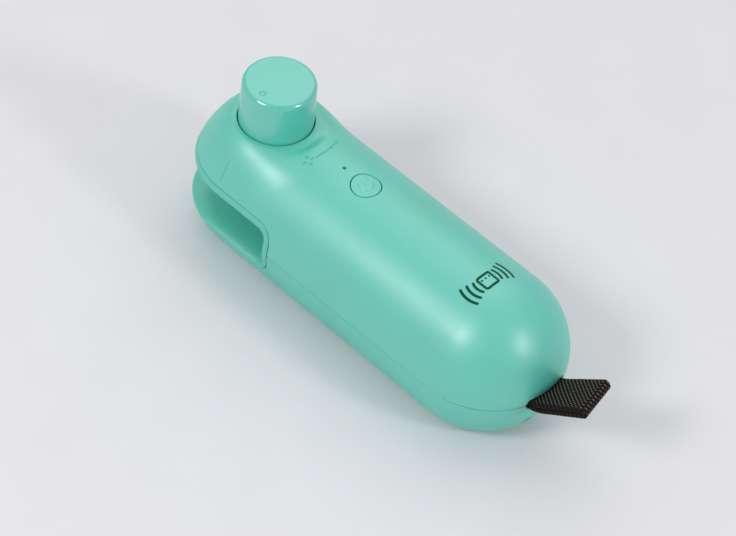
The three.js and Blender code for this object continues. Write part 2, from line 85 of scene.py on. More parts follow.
MOUTH_LOW = 8.8  # bag mouth as cut in the shells
MOUTH_HIGH = 25.2
MOUTH_REAR = FRONT_X + 20.8
MOUTH_CORNER = 5.0
LINER = 2.2  # width of the liner's band, out to the clear mouth
LIP = 0.9  # rounding of the liner's inner edge
FLOOR_DROP, FLOOR_SLOPE = 1.7, 5.5  # the liner's floor rolls over further towards its rim
LINER_BLEND = 4  # height over which the floor's section turns into the roof's
JOINT_GAP = 0.1  # half the gap between two housing pieces
EDGE = 0.2  # rounding of moulded edges
SLOT_LIFT = 1.7  # how far each shell draws back round the strap
SLOT_HALF = 6.5
SCREW_WELL_R, SCREW_WELL_TOP = 2.2, 6.0  # recesses in the underside for the case screws
PORT_ROOM = 0.3  # play round the charging connector
WINDOW_ROOM, WINDOW_Z = 0.4, (20, 28)  # opening in the liner's roof round the heater block
POCKET_ROOM, POCKET_SINK, POCKET_TOP = 0.3, 0.2, 14  # recess in the liner's floor round the seal pad
PAD_EDGE = 0.4

KNOB_TOP = side("press_knob", 2, 1)
KNOB_TOP_R = 9.95
KNOB_LOW_R = side("press_knob", 1, 1)
KNOB_EDGE = 1.45
KNOB_INNER_R = 8.4
KNOB_CEILING = KNOB_TOP - 1.9
KNOB_INNER_EDGE = 0.6
KNOB_SKIRT_OUTER, KNOB_SKIRT_INNER = 0.25, 0.2  # chamfers at the foot of the skirt
KNOB_DISH = 0.22  # how far the top sinks in its middle
DIMPLE_OUT, DIMPLE_R, DIMPLE_BEARING = 6.6, 1.0, -87
SPECK_IN, SPECK_R, SPECK_BEARING = 0.45, 0.2, -45  # a tiny moulding mark on the rounded edge
RING_Z = 38.4  # level ring of the collar round the knob
COLLAR_FALL = (11.6, 22.0)  # radii between which the collar falls away to the body
COLLAR_DISH = (12.7, 15.2)  # and between which the ridge behind dips down to the ring
COLLAR_BLEND = 0.5
HOLE_R = KNOB_LOW_R + 0.22

BUTTON_X = (side("power_button", 0, 0) + side("power_button", 0, 1)) / 2
BUTTON_R = side("power_button", 1, 1)
BUTTON_HOLE_R = BUTTON_R + 0.24
LED_X = (side("light_pipe", 0, 0) + side("light_pipe", 0, 1)) / 2
LED_HOLE_R = 0.52
HOLE_DEPTH = 4.0
BUTTON_SINK = 0.05  # the button's face lies just under the surface
BUTTON_STEM_R, BUTTON_SKIRT = 1.7, 1.0
SIGN_DEPTH = 0.16  # engraved on/off sign: a broken ring and a bar
SIGN_RING_R, SIGN_HALF_LINE, SIGN_SOFT = 2.05, 0.22, 0.12
SIGN_GAP = (32, 38)  # degrees from the bar between which the ring fades in
SIGN_BAR = (0.15, 2.35)

GROOVE_R = 0.34  # moulded turn scale
ARC_R = 18.0
ARC_ENDS = (-9.0, 10.6)  # degrees
PLUS_MINUS_X, PLUS_MINUS_Y = 17.05, 4.85  # from the knob's axis
DOT_R = 0.47
PLUS_DOTS, MINUS_DOTS = 1.15, 0.75  # how far the dots stand from the middle of their sign
TICK_ENDS, TICK_R = (16.7, 19.4), 0.15

MARK_X = 28.0  # printed mark
MARK_LINE = 0.72
MARK_LIFT, MARK_SINK = 0.02, 0.1

STRAP_HALF = 5.85
SELVEDGE = 0.3
PLY = 1.3
PLY_GAP = 0.28
STRAP_SKEW = 0.19  # the far end is turned a little, so its -Y corner reaches further
SKEW = (TAIL_X + 20, TAIL_X + 36)  # where the turn sets in and is complete
THREAD_ALONG, THREAD_ACROSS = 0.72, 0.58  # half periods of the weave
STITCH = 0.35  # half period of the threads along the selvedge
THREAD_RISE, STITCH_RISE = 0.16, 0.12
ON_EDGE = 0.4  # how much of the weave reaches the edges
TRIM, FOLD_SPREAD = 0.9, 1.9  # how far the browner tone reaches in from the edges and from the fold
STRAP_KNOTS = [(19.4, -0.5), (22.8, 0.4), (28.6, 5.2)]  # from the tail's axis and the parting plane
STRAP_RISE = 10.9  # of the fold

SPRING_WIRE_R, SPRING_TURNS = 0.4, 5
# the heater's ribbon: X from the knob's axis, and Z
RIBBON_KNOTS = [(4.25, 26), (5.4, 25.4), (7.2, 25.2), (11.4, 25.2), (14.5, 26.6), (18, 29.3)]
RIBBON_HALF, RIBBON_WAVES = 0.1, 5  # half its thickness, and how often it gets thicker across

FRONT_TIP = FRONT_X - RADIUS * math.pi / 2  # ends of the side when it is unrolled
TAIL_TIP = TAIL_X + RADIUS * math.pi / 2


# ---------- the body's surface ----------
def crown_height(d):
    fall = np.clip(1 - (np.abs(d) / RADIUS) ** CROWN_P, 0, 1)
    return SEAM_Z + CROWN * fall ** (1 / CROWN_Q)


def crown_reach(z):
    rise = np.clip((z - SEAM_Z) / CROWN, 0, 1)
    return RADIUS * (1 - rise**CROWN_Q) ** (1 / CROWN_P)


def keel_reach(z):
    drop = np.clip((SEAM_Z - z) / SEAM_Z, 0, 1)
    return BASE_FLAT + (RADIUS - BASE_FLAT) * (1 - drop**KEEL_P) ** (1 / KEEL_P)


def reach(z):
    """Distance of the body's side from the middle plane or the end axis, at a height."""
    return np.where(z >= SEAM_Z, crown_reach(z), keel_reach(z))


def from_axis(x, y):
    """Distance from the body's middle line, and the level direction away from it."""
    along = x - np.clip(x, FRONT_X, TAIL_X)
    d = np.hypot(along, y)
    safe = np.maximum(d, 1e-9)
    return d, along / safe, y / safe


def progress(value, limits):
    """How far a value has come from one limit to the other, between 0 and 1."""
    return np.clip((value - limits[0]) / (limits[1] - limits[0]), 0, 1)


def eased(t):
    return t * t * (3 - 2 * t)


def top_height(x, y):
    """The upper surface with the collar raised round the knob and the ridge dished down to it."""
    over = crown_height(from_axis(x, y)[0]) - RING_Z
    above = (over + np.sqrt(over**2 + COLLAR_BLEND**2)) / 2
    r = np.hypot(x - FRONT_X, y)
    fall = 1 - (1 - progress(r, COLLAR_FALL)) ** 2
    return RING_Z + above * eased(progress(r, COLLAR_DISH)) + (over - above) * fall


def unit(v):
    return v / np.maximum(np.linalg.norm(v, axis=-1, keepdims=True), 1e-12)


def upper_normal(p):
    x, y, z = p[..., 0], p[..., 1], p[..., 2]
    d, ex, ey = from_axis(x, y)
    rise = np.clip((z - SEAM_Z) / CROWN, 1e-6, 1)
    out = CROWN_P * np.maximum(d / RADIUS, 1e-6) ** (CROWN_P - 1) / RADIUS
    up = CROWN_Q * rise ** (CROWN_Q - 1) / CROWN
    n = unit(np.stack([out * ex, out * ey, up], -1))
    step = 0.02
    slope_x = (top_height(x + step, y) - top_height(x - step, y)) / (2 * step)
    slope_y = (top_height(x, y + step) - top_height(x, y - step)) / (2 * step)
    collar = unit(np.stack([-slope_x, -slope_y, np.ones_like(slope_x)], -1))
    near = np.hypot(x - FRONT_X, y) < COLLAR_FALL[1]
    return np.where(near[..., None], collar, n)


def lower_normal(p):
    d, ex, ey = from_axis(p[..., 0], p[..., 1])
    width = RADIUS - BASE_FLAT
    out = np.clip((d - BASE_FLAT) / width, 0, 1) ** (KEEL_P - 1) / width
    down = np.clip((SEAM_Z - p[..., 2]) / SEAM_Z, 1e-6, 1) ** (KEEL_P - 1) / SEAM_Z
    return unit(np.stack([out * ex, out * ey, -down], -1))


def upper_distance(p):
    """Roughly how far points are from the upper surface."""
    d, _, _ = from_axis(p[..., 0], p[..., 1])
    n = upper_normal(p)
    by_height = np.abs(p[..., 2] - top_height(p[..., 0], p[..., 1])) * n[..., 2]
    by_reach = np.abs(d - crown_reach(p[..., 2])) * np.hypot(n[..., 0], n[..., 1])
    return np.where(n[..., 2] > 0.6, by_height, by_reach)


def lower_distance(p):
    d, _, _ = from_axis(p[..., 0], p[..., 1])
    return np.where(d <= BASE_FLAT, np.abs(p[..., 2]), np.abs(d - keel_reach(p[..., 2])))


def unrolled(along):
    """The point of the middle line, and the angle there, of a place along the unrolled side."""
    centre = np.clip(along, FRONT_X, TAIL_X)
    return centre, (along - centre) / RADIUS


def on_side(along, z, inward=0.0):
    """A point of the body's -Y side from its place along the unrolled side and its height."""
    d = reach(z) - inward
    centre, angle = unrolled(along)
    return np.stack([centre + d * np.sin(angle), -d * np.cos(angle), z + 0 * along], -1)


# ---------- paths ----------
def arc(start, end, count):
    """Evenly spaced angles in radians, from limits in degrees."""
    return np.linspace(math.radians(start), math.radians(end), count)


def length_along(points):
    """Length of a path from its start to each of its points."""
    return np.concatenate([[0], np.cumsum(np.linalg.norm(np.diff(points, axis=0), axis=1))])


def points_at(points, lengths):
    """The points of a path at some lengths from its start."""
    known = length_along(points)
    return np.stack([np.interp(lengths, known, column) for column in points.T], -1)


def smooth_path(knots, count):
    """Evenly spaced points on a Catmull-Rom curve through the knots."""
    k = np.array(knots, float)
    k = np.concatenate([[2 * k[0] - k[1]], k, [2 * k[-1] - k[-2]]])
    fine = []
    t = np.linspace(0, 1, 60, endpoint=False)[:, None]
    for i in range(1, len(k) - 2):
        a, b, c, d = k[i - 1 : i + 3]
        bend = (2 * a - 5 * b + 4 * c - d) * t**2 + (3 * b - a - 3 * c + d) * t**3
        fine.append(0.5 * (2 * b + (c - a) * t + bend))
    fine = np.concatenate(fine + [k[-2:-1]])
    return points_at(fine, np.linspace(0, length_along(fine)[-1], count))


def path_frame(path):
    """Unit directions along a path in X and Z, and square to it."""
    ahead = unit(np.gradient(path, axis=0))
    return ahead, np.stack([-ahead[:, 1], ahead[:, 0]], -1)


# ---------- mesh building ----------
WELD = 2e-6  # points nearer than this, in metres, become one
CREASE = math.radians(35)


class Patchwork:
    """Grids of points joined into one mesh where their edges meet."""

    def __init__(self):
        self.points = []
        self.faces = []

    def grid(self, block):
        rows, columns = block.shape[:2]
        start = sum(len(p) for p in self.points)
        index = start + np.arange(rows * columns).reshape(rows, columns)
        quads = np.stack([index[:-1, :-1], index[1:, :-1], index[1:, 1:], index[:-1, 1:]], -1)
        self.points.append(block.reshape(-1, 3))
        self.faces.append(quads.reshape(-1, 4))

    def mirror(self):
        """Adds the +Y half."""
        points, faces = np.concatenate(self.points), np.concatenate(self.faces)
        self.points = [points, points * (1, -1, 1)]
        self.faces = [faces, faces[:, ::-1] + len(points)]

    def mesh(self, name):
        mesh = bpy.data.meshes.new(name)
        points = np.concatenate(self.points) * MM
        mesh.from_pydata(points.tolist(), [], np.concatenate(self.faces).tolist())
        return mesh

    def object(self, name):
        return tidy_object(name, self.mesh(name))


def tidy_object(name, mesh):
    """Welds a mesh, drops what has no size, turns its faces outwards and makes it an object."""
    bm = bmesh.new()
    bm.from_mesh(mesh)
    bmesh.ops.remove_doubles(bm, verts=bm.verts, dist=WELD)
    bmesh.ops.dissolve_degenerate(bm, edges=bm.edges, dist=WELD)
    bmesh.ops.recalc_face_normals(bm, faces=bm.faces)
    bm.to_mesh(mesh)
    bm.free()
    o = bpy.data.objects.new(name, mesh)
    bpy.context.scene.collection.objects.link(o)
    shade(o)
    return o


def shade(o):
    """Smooth faces with sharp edges where the surface turns by more than the crease angle."""
    bm = bmesh.new()
    bm.from_mesh(o.data)
    for face in bm.faces:
        face.smooth = True
    for edge in bm.edges:
        edge.smooth = len(edge.link_faces) == 2 and edge.calc_face_angle(0) < CREASE
    bm.to_mesh(o.data)
    bm.free()


def one_grid(name, block):
    """An object made of one grid of points."""
    work = Patchwork()
    work.grid(block)
    return work.object(name)


def closed_ends(block, first, last):
    """A tube's grid with a fan to a middle point at each end."""
    fans = [np.broadcast_to(point, (len(block), 1, 3)) for point in (first, last)]
    return np.concatenate([fans[0], block, fans[1]], 1)


def revolve(name, outline, x=0.0, y=0.0, segments=96, lift=None):
    """A closed solid of revolution about Z; outline is [radius, z] pairs from axis to axis.
    With lift, the heights are measured from the surface that lift(x, y) gives."""
    r, z = np.array(outline, float).T
    turn = np.linspace(0, 2 * math.pi, segments + 1)
    px = x + r[:, None] * np.cos(turn)
    py = y + r[:, None] * np.sin(turn)
    pz = z[:, None] + (lift(px, py) if lift else 0 * turn)
    return one_grid(name, np.stack([px, py, pz], -1))


def tube(name, path, radius, sides=12):
    """A round wire along a path of points, with flat ends."""
    path = np.array(path, float)
    ahead = unit(np.gradient(path, axis=0))
    guide = np.array([0.0, 0.0, 1.0])
    if abs(ahead[:, 2]).max() > 0.9:
        guide = np.array([0.0, 1.0, 0.0])
    across = unit(np.cross(ahead, guide))
    upward = np.cross(across, ahead)
    turn = np.linspace(0, 2 * math.pi, sides + 1)[:, None, None]
    ring = path + radius * (np.cos(turn) * across + np.sin(turn) * upward)
    return one_grid(name, closed_ends(ring, path[0], path[-1]))


def rounded_block(name, low, high, radius, steps=4):
    """A box with rounded edges, from one corner to the other."""
    bm = bmesh.new()
    bmesh.ops.create_cube(bm, size=1)
    low, high = np.array(low), np.array(high)
    for v in bm.verts:
        v.co = Vector((low + (np.array(v.co) + 0.5) * (high - low)) * MM)
    bmesh.ops.bevel(bm, geom=bm.edges, offset=radius * MM, segments=steps, profile=0.5, affect="EDGES")
    mesh = bpy.data.meshes.new(name)
    bm.to_mesh(mesh)
    bm.free()
    return tidy_object(name, mesh)


def carve(o, tools, operation="DIFFERENCE"):
    """Cuts a list of separate solids out of an object, or adds them, and removes them."""
    bm = bmesh.new()
    for tool in tools:
        bm.from_mesh(tool.data)
        bpy.data.objects.remove(tool)
    mesh = bpy.data.meshes.new("tools")
    bm.to_mesh(mesh)
    bm.free()
    joined = bpy.data.objects.new("tools", mesh)
    bpy.context.scene.collection.objects.link(joined)
    modifier = o.modifiers.new("carve", "BOOLEAN")
    modifier.operation = operation
    modifier.solver = "EXACT"
    modifier.object = joined
    depsgraph = bpy.context.evaluated_depsgraph_get()
    made = bpy.data.meshes.new_from_object(o.evaluated_get(depsgraph))
    o.modifiers.clear()
    o.data = made
    bpy.data.objects.remove(joined)
    shade(o)
    return o


def values_of(items, name, size=1, kind=float):
    """A property of all items of a mesh: one number each, or a row of numbers each."""
    values = np.zeros(len(items) * size, kind)
    items.foreach_get(name, values)
    return values.reshape(-1, size) if size > 1 else values


def true_normals(o, distance, normal):
    """Shades the faces that lie on the body's surface by that surface and not by their facets."""
    mesh = o.data
    points = values_of(mesh.vertices, "co", 3) / MM
    on_it, ideal = distance(points) < ON_SURFACE, normal(points)
    corner = values_of(mesh.corner_normals, "vector", 3)
    vertex = values_of(mesh.loops, "vertex_index", kind=int)
    corners = values_of(mesh.polygons, "loop_total", kind=int)
    facing = np.repeat(values_of(mesh.polygons, "normal", 3), corners, axis=0)
    use = on_it[vertex] & ((ideal[vertex] * facing).sum(-1) > FACING)
    corner[use] = ideal[vertex][use]
    mesh.normals_split_custom_set(unit(corner).tolist())


# ---------- the two shells ----------
FRONT_COLUMNS, SIDE_COLUMNS, CORNER_COLUMNS, REAR_COLUMNS, TAIL_COLUMNS = 48, 22, 14, 84, 52
TOP_ROWS, EDGE_ROWS, KEEL_ROWS, BASE_ROWS, ACROSS_ROWS = 56, 6, 20, 12, 24
EDGE_STEPS = 4


def mouth_line(offset, upper):
    """The bag mouth's outline from the front to its vertical rear, as places along the unrolled side
    and heights. The offset is positive outside the mouth."""
    sign = 1 if upper else -1
    level = MOUTH_HIGH if upper else MOUTH_LOW
    radius = MOUTH_CORNER + offset
    centre_x = MOUTH_REAR - MOUTH_CORNER
    centre_z = level - sign * MOUTH_CORNER
    along = np.concatenate([
        np.linspace(FRONT_TIP, FRONT_X, FRONT_COLUMNS)[:-1],
        np.linspace(FRONT_X, centre_x, SIDE_COLUMNS)[:-1],
        centre_x + radius * np.sin(arc(0, 90, CORNER_COLUMNS)),
    ])
    straight = np.full(FRONT_COLUMNS + SIDE_COLUMNS - 2, level + sign * offset)
    return along, np.concatenate([straight, centre_z + sign * radius * np.cos(arc(0, 90, CORNER_COLUMNS))])


def seam_line(upper):
    """The parting line from the mouth to the middle of the tail, drawn back round the strap."""
    along = np.concatenate([
        np.linspace(MOUTH_REAR + JOINT_GAP + EDGE, TAIL_X, REAR_COLUMNS)[:-1],
        np.linspace(TAIL_X, TAIL_TIP, TAIL_COLUMNS),
    ])
    from_slot = TAIL_TIP - along - SLOT_HALF
    lift = JOINT_GAP + EDGE + SLOT_LIFT * eased(progress(from_slot, (1, 0)))
    return along, SEAM_Z + (lift if upper else -lift)


def column_end(along):
    """Where a column of the upper skin that starts on the side ends: round the knob's hole, and
    behind it on the ridge. Gives the plan place, for places between the two end axes."""
    hole = HOLE_R + EDGE
    round_it = MOUTH_REAR - MOUTH_CORNER - FRONT_X  # a column stands there, and ends the hole's round
    settled = 45.0  # from here the columns run straight across
    t = along - FRONT_X
    turn = np.clip(1 - t / round_it, 0, 1) * math.pi / 2
    behind = hole + (t - round_it) * (settled - hole) / (settled - round_it)
    x = np.where(t < round_it, hole * np.cos(turn), np.where(t < settled, behind, t))
    y = np.where(t < round_it, hole * np.sin(turn), 0)
    return FRONT_X + x, y


def top_columns(along, z):
    """Rows of points over the crown from places on the side: rows, columns, 3."""
    start = crown_reach(z)
    end_x, end_y = column_end(along)
    end = np.where(along < FRONT_X, HOLE_R + EDGE, np.where(along > TAIL_X, 0, end_y))
    first, last = np.arccos(np.clip(start / RADIUS, -1, 1)), np.arccos(end / RADIUS)
    t = np.linspace(0, 1, TOP_ROWS)[:, None]
    d = RADIUS * np.cos(first + (last - first) * t)
    d[0], d[-1] = start, end
    centre, angle = unrolled(along)
    drift = (end_x - centre) * (start - d) / (start - end)
    drift = np.where((along < FRONT_X) | (along > TAIL_X), 0, drift)
    x = centre + drift + d * np.sin(angle)
    y = -d * np.cos(angle)
    height = top_height(x, y)
    height[0] = z
    return np.stack([x, y, height], -1)


def base_columns(along, z):
    """Rows of points down the keel and over the flat underside to the middle plane."""
    drop = np.clip((SEAM_Z - z) / SEAM_Z, 0, 1)
    first = np.arcsin(drop ** (KEEL_P / 2))
    t = first + (math.pi / 2 - first) * np.linspace(0, 1, KEEL_ROWS)[:, None]
    height = SEAM_Z * (1 - np.sin(t) ** (2 / KEEL_P))
    height[0], height[-1] = z, 0
    side_rows = on_side(along + 0 * t, height)
    level = np.linspace(1, 0, BASE_ROWS)[1:, None, None]
    middle = np.stack([np.clip(along, FRONT_X, TAIL_X), 0 * along, 0 * along], -1)
    flat = middle + (side_rows[-1] - middle) * level
    return np.concatenate([side_rows, flat])


def edge_rings(base, normal, towards):
    """Rings that round a skin's edge over towards the gap, and lead down to the inner wall."""
    rings = []
    for a in arc(0, 90, EDGE_STEPS + 1):
        rings.append(base + EDGE * (math.sin(a) * towards - (1 - math.cos(a)) * normal))
    rings.append(base + EDGE * towards - LAND * normal)
    rings.append(base - WALL * normal)
    return np.stack(rings)


def gap_direction(base, normal, sign):
    """The direction along the skin out of its edge, which meets the middle plane squarely."""
    ahead = np.gradient(base, axis=0)
    ahead[0], ahead[-1] = (0, -1, 0), (0, 1, 0)
    return unit(np.cross(ahead, normal)) * sign


def shell(name, upper):
    """The -Y half of a shell as a skin, an inner wall and rounded edges between them, mirrored."""
    normal_at = upper_normal if upper else lower_normal
    columns = top_columns if upper else base_columns
    mouth_along, mouth_z = mouth_line(JOINT_GAP + EDGE, upper)
    seam_along, seam_z = seam_line(upper)
    corner_z = mouth_z[-1]
    front = columns(mouth_along, mouth_z)
    rear = columns(seam_along, np.full(len(seam_along), corner_z))
    t = np.linspace(0, 1, EDGE_ROWS)[:, None]
    strip = on_side(seam_along + 0 * t, seam_z + (corner_z - seam_z) * t)

    work = Patchwork()
    for block in (front, rear, strip):
        work.grid(block)
        work.grid(block - WALL * normal_at(block))
    rim = np.concatenate([front[0], strip[::-1, 0][1:], strip[0, 1:]])
    rim_normal = normal_at(rim)
    sign = 1 if upper else -1
    work.grid(edge_rings(rim, rim_normal, gap_direction(rim, rim_normal, sign)))
    if upper:
        top = np.concatenate([front[-1], rear[-1]])
        hole = top[np.hypot(top[:, 0] - FRONT_X, top[:, 1]) < HOLE_R + EDGE + 0.01]
        inwards = unit((FRONT_X, 0, 0) - hole * (1, 1, 0))
        work.grid(edge_rings(hole, normal_at(hole), inwards))
    work.mirror()
    return work.object(name)


def surface_path(x, y):
    return np.stack([x, y, top_height(x, y)], -1)


def dot(x, y):
    """A ball on the surface, which leaves a round dent."""
    outline = [(DOT_R * math.sin(a), -DOT_R * math.cos(a)) for a in arc(0, 180, 9)]
    return revolve("dot", outline, x, y, 16, top_height)


def scale_marks():
    """Tools for the turn scale by the knob: an arc between a plus and a minus made of dots."""
    turn = arc(*ARC_ENDS, 30)
    line = surface_path(FRONT_X + ARC_R * np.cos(turn), ARC_R * np.sin(turn))
    tools = [tube("scale", line, GROOVE_R, 10)]
    x, y = FRONT_X + PLUS_MINUS_X, PLUS_MINUS_Y
    plus_turn = math.atan2(-PLUS_MINUS_Y, PLUS_MINUS_X)
    for quarter in range(4):
        a = plus_turn + quarter * math.pi / 2
        tools.append(dot(x + PLUS_DOTS * math.cos(a), -y + PLUS_DOTS * math.sin(a)))
    a = math.atan2(PLUS_MINUS_Y, PLUS_MINUS_X)
    for end in (-MINUS_DOTS, MINUS_DOTS):
        tools.append(dot(x - end * math.sin(a), y + end * math.cos(a)))
    return tools


def pointer_tick(sign):
    """A fine moulded line on the shoulder beside the knob."""
    y = np.linspace(*TICK_ENDS, 12)
    return tube("tick", surface_path(0 * y + FRONT_X, sign * y), TICK_R, 8)


def hole_tool(x, radius):
    """A round hole with a small rounded edge, measured from the surface."""
    outline = [(0, -HOLE_DEPTH), (radius, -HOLE_DEPTH), (radius, -EDGE)]
    outline += [(radius + EDGE * (1 - math.cos(a)), EDGE * math.sin(a) - EDGE) for a in arc(0, 75, 5)]
    outline += [(radius + EDGE * 1.6, 0.3), (0, 0.3)]
    return revolve("hole", outline, x, 0, 72, top_height)


def upper_shell():
    o = shell("UpperShell", True)
    tools = [hole_tool(BUTTON_X, BUTTON_HOLE_R), hole_tool(LED_X, LED_HOLE_R)]
    tools += scale_marks() + [pointer_tick(-1), pointer_tick(1)]
    carve(o, tools)
    true_normals(o, upper_distance, upper_normal)
    return o


def screw_places():
    places = []
    for i in range(1, 5):
        low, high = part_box(f"case_screw_{i}")
        places.append(((low + high) / 2 / MM)[:2])
    return places


def port_tool():
    """The opening for the charging connector."""
    low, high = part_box("usb_c_receptacle")
    centre_z = (low.z + high.z) / 2 / MM
    half_width, half_height = high.y / MM + PORT_ROOM, (high.z - low.z) / 2 / MM + PORT_ROOM
    flat = half_width - half_height
    turn = np.concatenate([arc(-90, 90, 14), arc(90, 270, 14), arc(-90, -90, 1)])
    shift = np.concatenate([np.full(14, flat), np.full(14, -flat), [flat]])
    y, z = shift + half_height * np.cos(turn), centre_z + half_height * np.sin(turn)
    front, back = TAIL_X + 13, TAIL_X + 30  # from inside the wall to outside the tail
    loops = [np.stack([0 * y + x, y * s, centre_z + (z - centre_z) * s], -1)
             for x, s in ((front, 0), (front, 1), (back, 1), (back, 0))]
    return one_grid("port", np.stack(loops))


def lower_shell():
    o = shell("LowerShell", False)
    recess, rim = SCREW_WELL_R, SCREW_WELL_TOP
    cup_r, cup_low, cup_top = recess + 1, 0.8, rim + 1.5
    cup = [(0, cup_low), (cup_r, cup_low), (cup_r, cup_top), (0, cup_top)]
    carve(o, [revolve("cup", cup, x, y, 40) for x, y in screw_places()], "UNION")
    wells = []
    for x, y in screw_places():
        outline = [(0, rim), (recess, rim), (recess, EDGE)]
        outline += [(recess + EDGE * (1 - math.cos(a)), EDGE * (1 - math.sin(a))) for a in arc(0, 80, 5)]
        outline += [(recess + EDGE * 1.5, -0.5), (0, -0.5)]
        wells.append(revolve("well", outline, x, y, 40))
    carve(o, wells + [port_tool()])
    true_normals(o, lower_distance, lower_normal)
    return o


# ---------- liner ----------
def liner_outline(offset):
    """The whole U of the bag mouth from the upper front round the rear to the lower front."""
    upper = mouth_line(offset, True)
    lower = mouth_line(offset, False)
    rear_z = np.linspace(upper[1][-1], lower[1][-1], 12)[1:-1]
    along = np.concatenate([upper[0], np.full(10, upper[0][-1]), lower[0][::-1]])
    return along, np.concatenate([upper[1], rear_z, lower[1][::-1]])


def liner_row(offset, inward, floor_offset, floor_inward):
    """A row along the liner's U that passes from the roof's section to the floor's."""
    roof, floor = liner_outline(offset), liner_outline(floor_offset)
    floor_end = MOUTH_LOW + LINER
    up = eased(progress(liner_outline(-LINER)[1], (floor_end, floor_end + LINER_BLEND)))
    along, z = (r * up + f * (1 - up) for r, f in zip(roof, floor))
    return on_side(along, z, inward * up + floor_inward * (1 - up))


def mouth_liner():
    """A U-shaped lining, flush with the body round its rim, with a rounded inner edge."""
    outer = -JOINT_GAP
    inner = -LINER
    rings = [(outer, EDGE + WALL)]
    for a in arc(0, 90, EDGE_STEPS + 1):
        rings.append((outer - EDGE * (1 - math.cos(a)), EDGE * (1 - math.sin(a))))
    rows = [on_side(*liner_outline(offset), inward) for offset, inward in rings]
    rim = outer - EDGE
    for t in np.linspace(0, 1, 6)[1:-1]:
        rows.append(liner_row(rim + (inner + LIP - rim) * t, 0, rim + (inner + FLOOR_DROP - rim) * t, 0))
    for a in arc(0, 90, 13):
        up, back = 1 - math.sin(a), 1 - math.cos(a)
        rows.append(liner_row(inner + LIP * up, LIP * back, inner + FLOOR_DROP * up, FLOOR_SLOPE * back))

    def to_middle(row):
        """Rows straight across the body from one row to the middle plane."""
        t = np.linspace(1, 0, ACROSS_ROWS)[:, None, None]
        return row * (1, 0, 1) + row * (0, 1, 0) * t

    work = Patchwork()
    work.grid(np.stack(rows))
    work.grid(to_middle(rows[-1]))
    work.grid(to_middle(rows[0])[::-1])
    work.mirror()
    o = work.object("MouthLiner")
    block_low, block_high = (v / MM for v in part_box("heater_block"))
    pad_low, pad_high = (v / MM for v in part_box("seal_pad"))
    tools = []
    for name, low, high, room, (bottom, top) in (
        ("window", block_low, block_high, WINDOW_ROOM, WINDOW_Z),
        ("pocket", pad_low, pad_high, POCKET_ROOM, (pad_low.z - POCKET_SINK, POCKET_TOP)),
    ):
        corners = (low.x - room, low.y - room, bottom), (high.x + room, high.y + room, top)
        tools.append(rounded_block(name, *corners, room))
    return carve(o, tools)


# ---------- knob and button ----------
def dished_top(r):
    """Height of the knob's slightly hollow top."""
    return KNOB_TOP - KNOB_DISH * (1 - (r / (KNOB_TOP_R - KNOB_EDGE)) ** 2)


def knob_outline():
    """Radius and height from the ceiling inside, round the skirt's foot and up to the middle of the top."""
    skirt = side("press_knob", 2, 0)
    rounding = KNOB_INNER_R - KNOB_INNER_EDGE
    points = [(0, KNOB_CEILING), (rounding, KNOB_CEILING)]
    for a in arc(15, 90, 5):
        height = KNOB_CEILING - KNOB_INNER_EDGE + KNOB_INNER_EDGE * math.cos(a)
        points.append((rounding + KNOB_INNER_EDGE * math.sin(a), height))
    points += [(KNOB_INNER_R, skirt + KNOB_SKIRT_INNER), (KNOB_INNER_R + KNOB_SKIRT_INNER, skirt)]
    points += [(KNOB_LOW_R - KNOB_SKIRT_OUTER, skirt), (KNOB_LOW_R, skirt + KNOB_SKIRT_OUTER)]
    shoulder = KNOB_TOP - KNOB_EDGE
    for z in np.linspace(RING_Z, shoulder, 10):
        points.append((KNOB_LOW_R - (KNOB_LOW_R - KNOB_TOP_R) * (z - RING_Z) / (shoulder - RING_Z), z))
    centre = KNOB_TOP_R - KNOB_EDGE
    points += [(centre + KNOB_EDGE * math.cos(a), shoulder + KNOB_EDGE * math.sin(a)) for a in arc(8, 90, 12)]
    points += [(r, dished_top(r)) for r in np.linspace(centre, 0, 14)[1:]]
    return points


def knob_place(out, bearing):
    a = math.radians(bearing)
    return FRONT_X + out * math.cos(a), out * math.sin(a)


def knob():
    """A slightly tapering cap with a dimple that shows its turn."""
    o = revolve("PressKnob", knob_outline(), FRONT_X, 0, 144)
    top = dished_top(DIMPLE_OUT)
    floor = [(0, top - 0.1), (DIMPLE_R * 0.5, top - 0.1), (DIMPLE_R * 0.75, top - 0.26)]
    wall = [(DIMPLE_R * 0.95, top - 0.2), (DIMPLE_R, top), (DIMPLE_R * 1.1, top + 0.1)]
    pit = floor + wall + [(DIMPLE_R, top + 1), (0, top + 1)]
    height = KNOB_TOP - 0.5
    speck = [(SPECK_R * math.sin(a), height - SPECK_R * math.cos(a)) for a in arc(0, 180, 7)]
    tools = [
        revolve("pit", pit, *knob_place(DIMPLE_OUT, DIMPLE_BEARING), 32),
        revolve("speck", speck, *knob_place(KNOB_TOP_R - SPECK_IN, SPECK_BEARING), 12),
    ]
    return carve(o, tools)


def engraved(x, y):
    """Depth share of the generic on/off sign on the button: a broken ring and a bar."""
    def within(value):
        """1 well inside a line where the value is positive, falling to 0 at its edge."""
        return np.clip(value / SIGN_SOFT, 0, 1)

    bearing = np.abs(np.degrees(np.arctan2(y, -x)))
    opening = progress(bearing, SIGN_GAP)
    ring = within(SIGN_HALF_LINE - np.abs(np.hypot(x, y) - SIGN_RING_R)) * opening
    bar = within(SIGN_HALF_LINE - np.abs(y)) * within(SIGN_BAR[1] + x) * within(-SIGN_BAR[0] - x)
    return np.maximum(ring, bar)


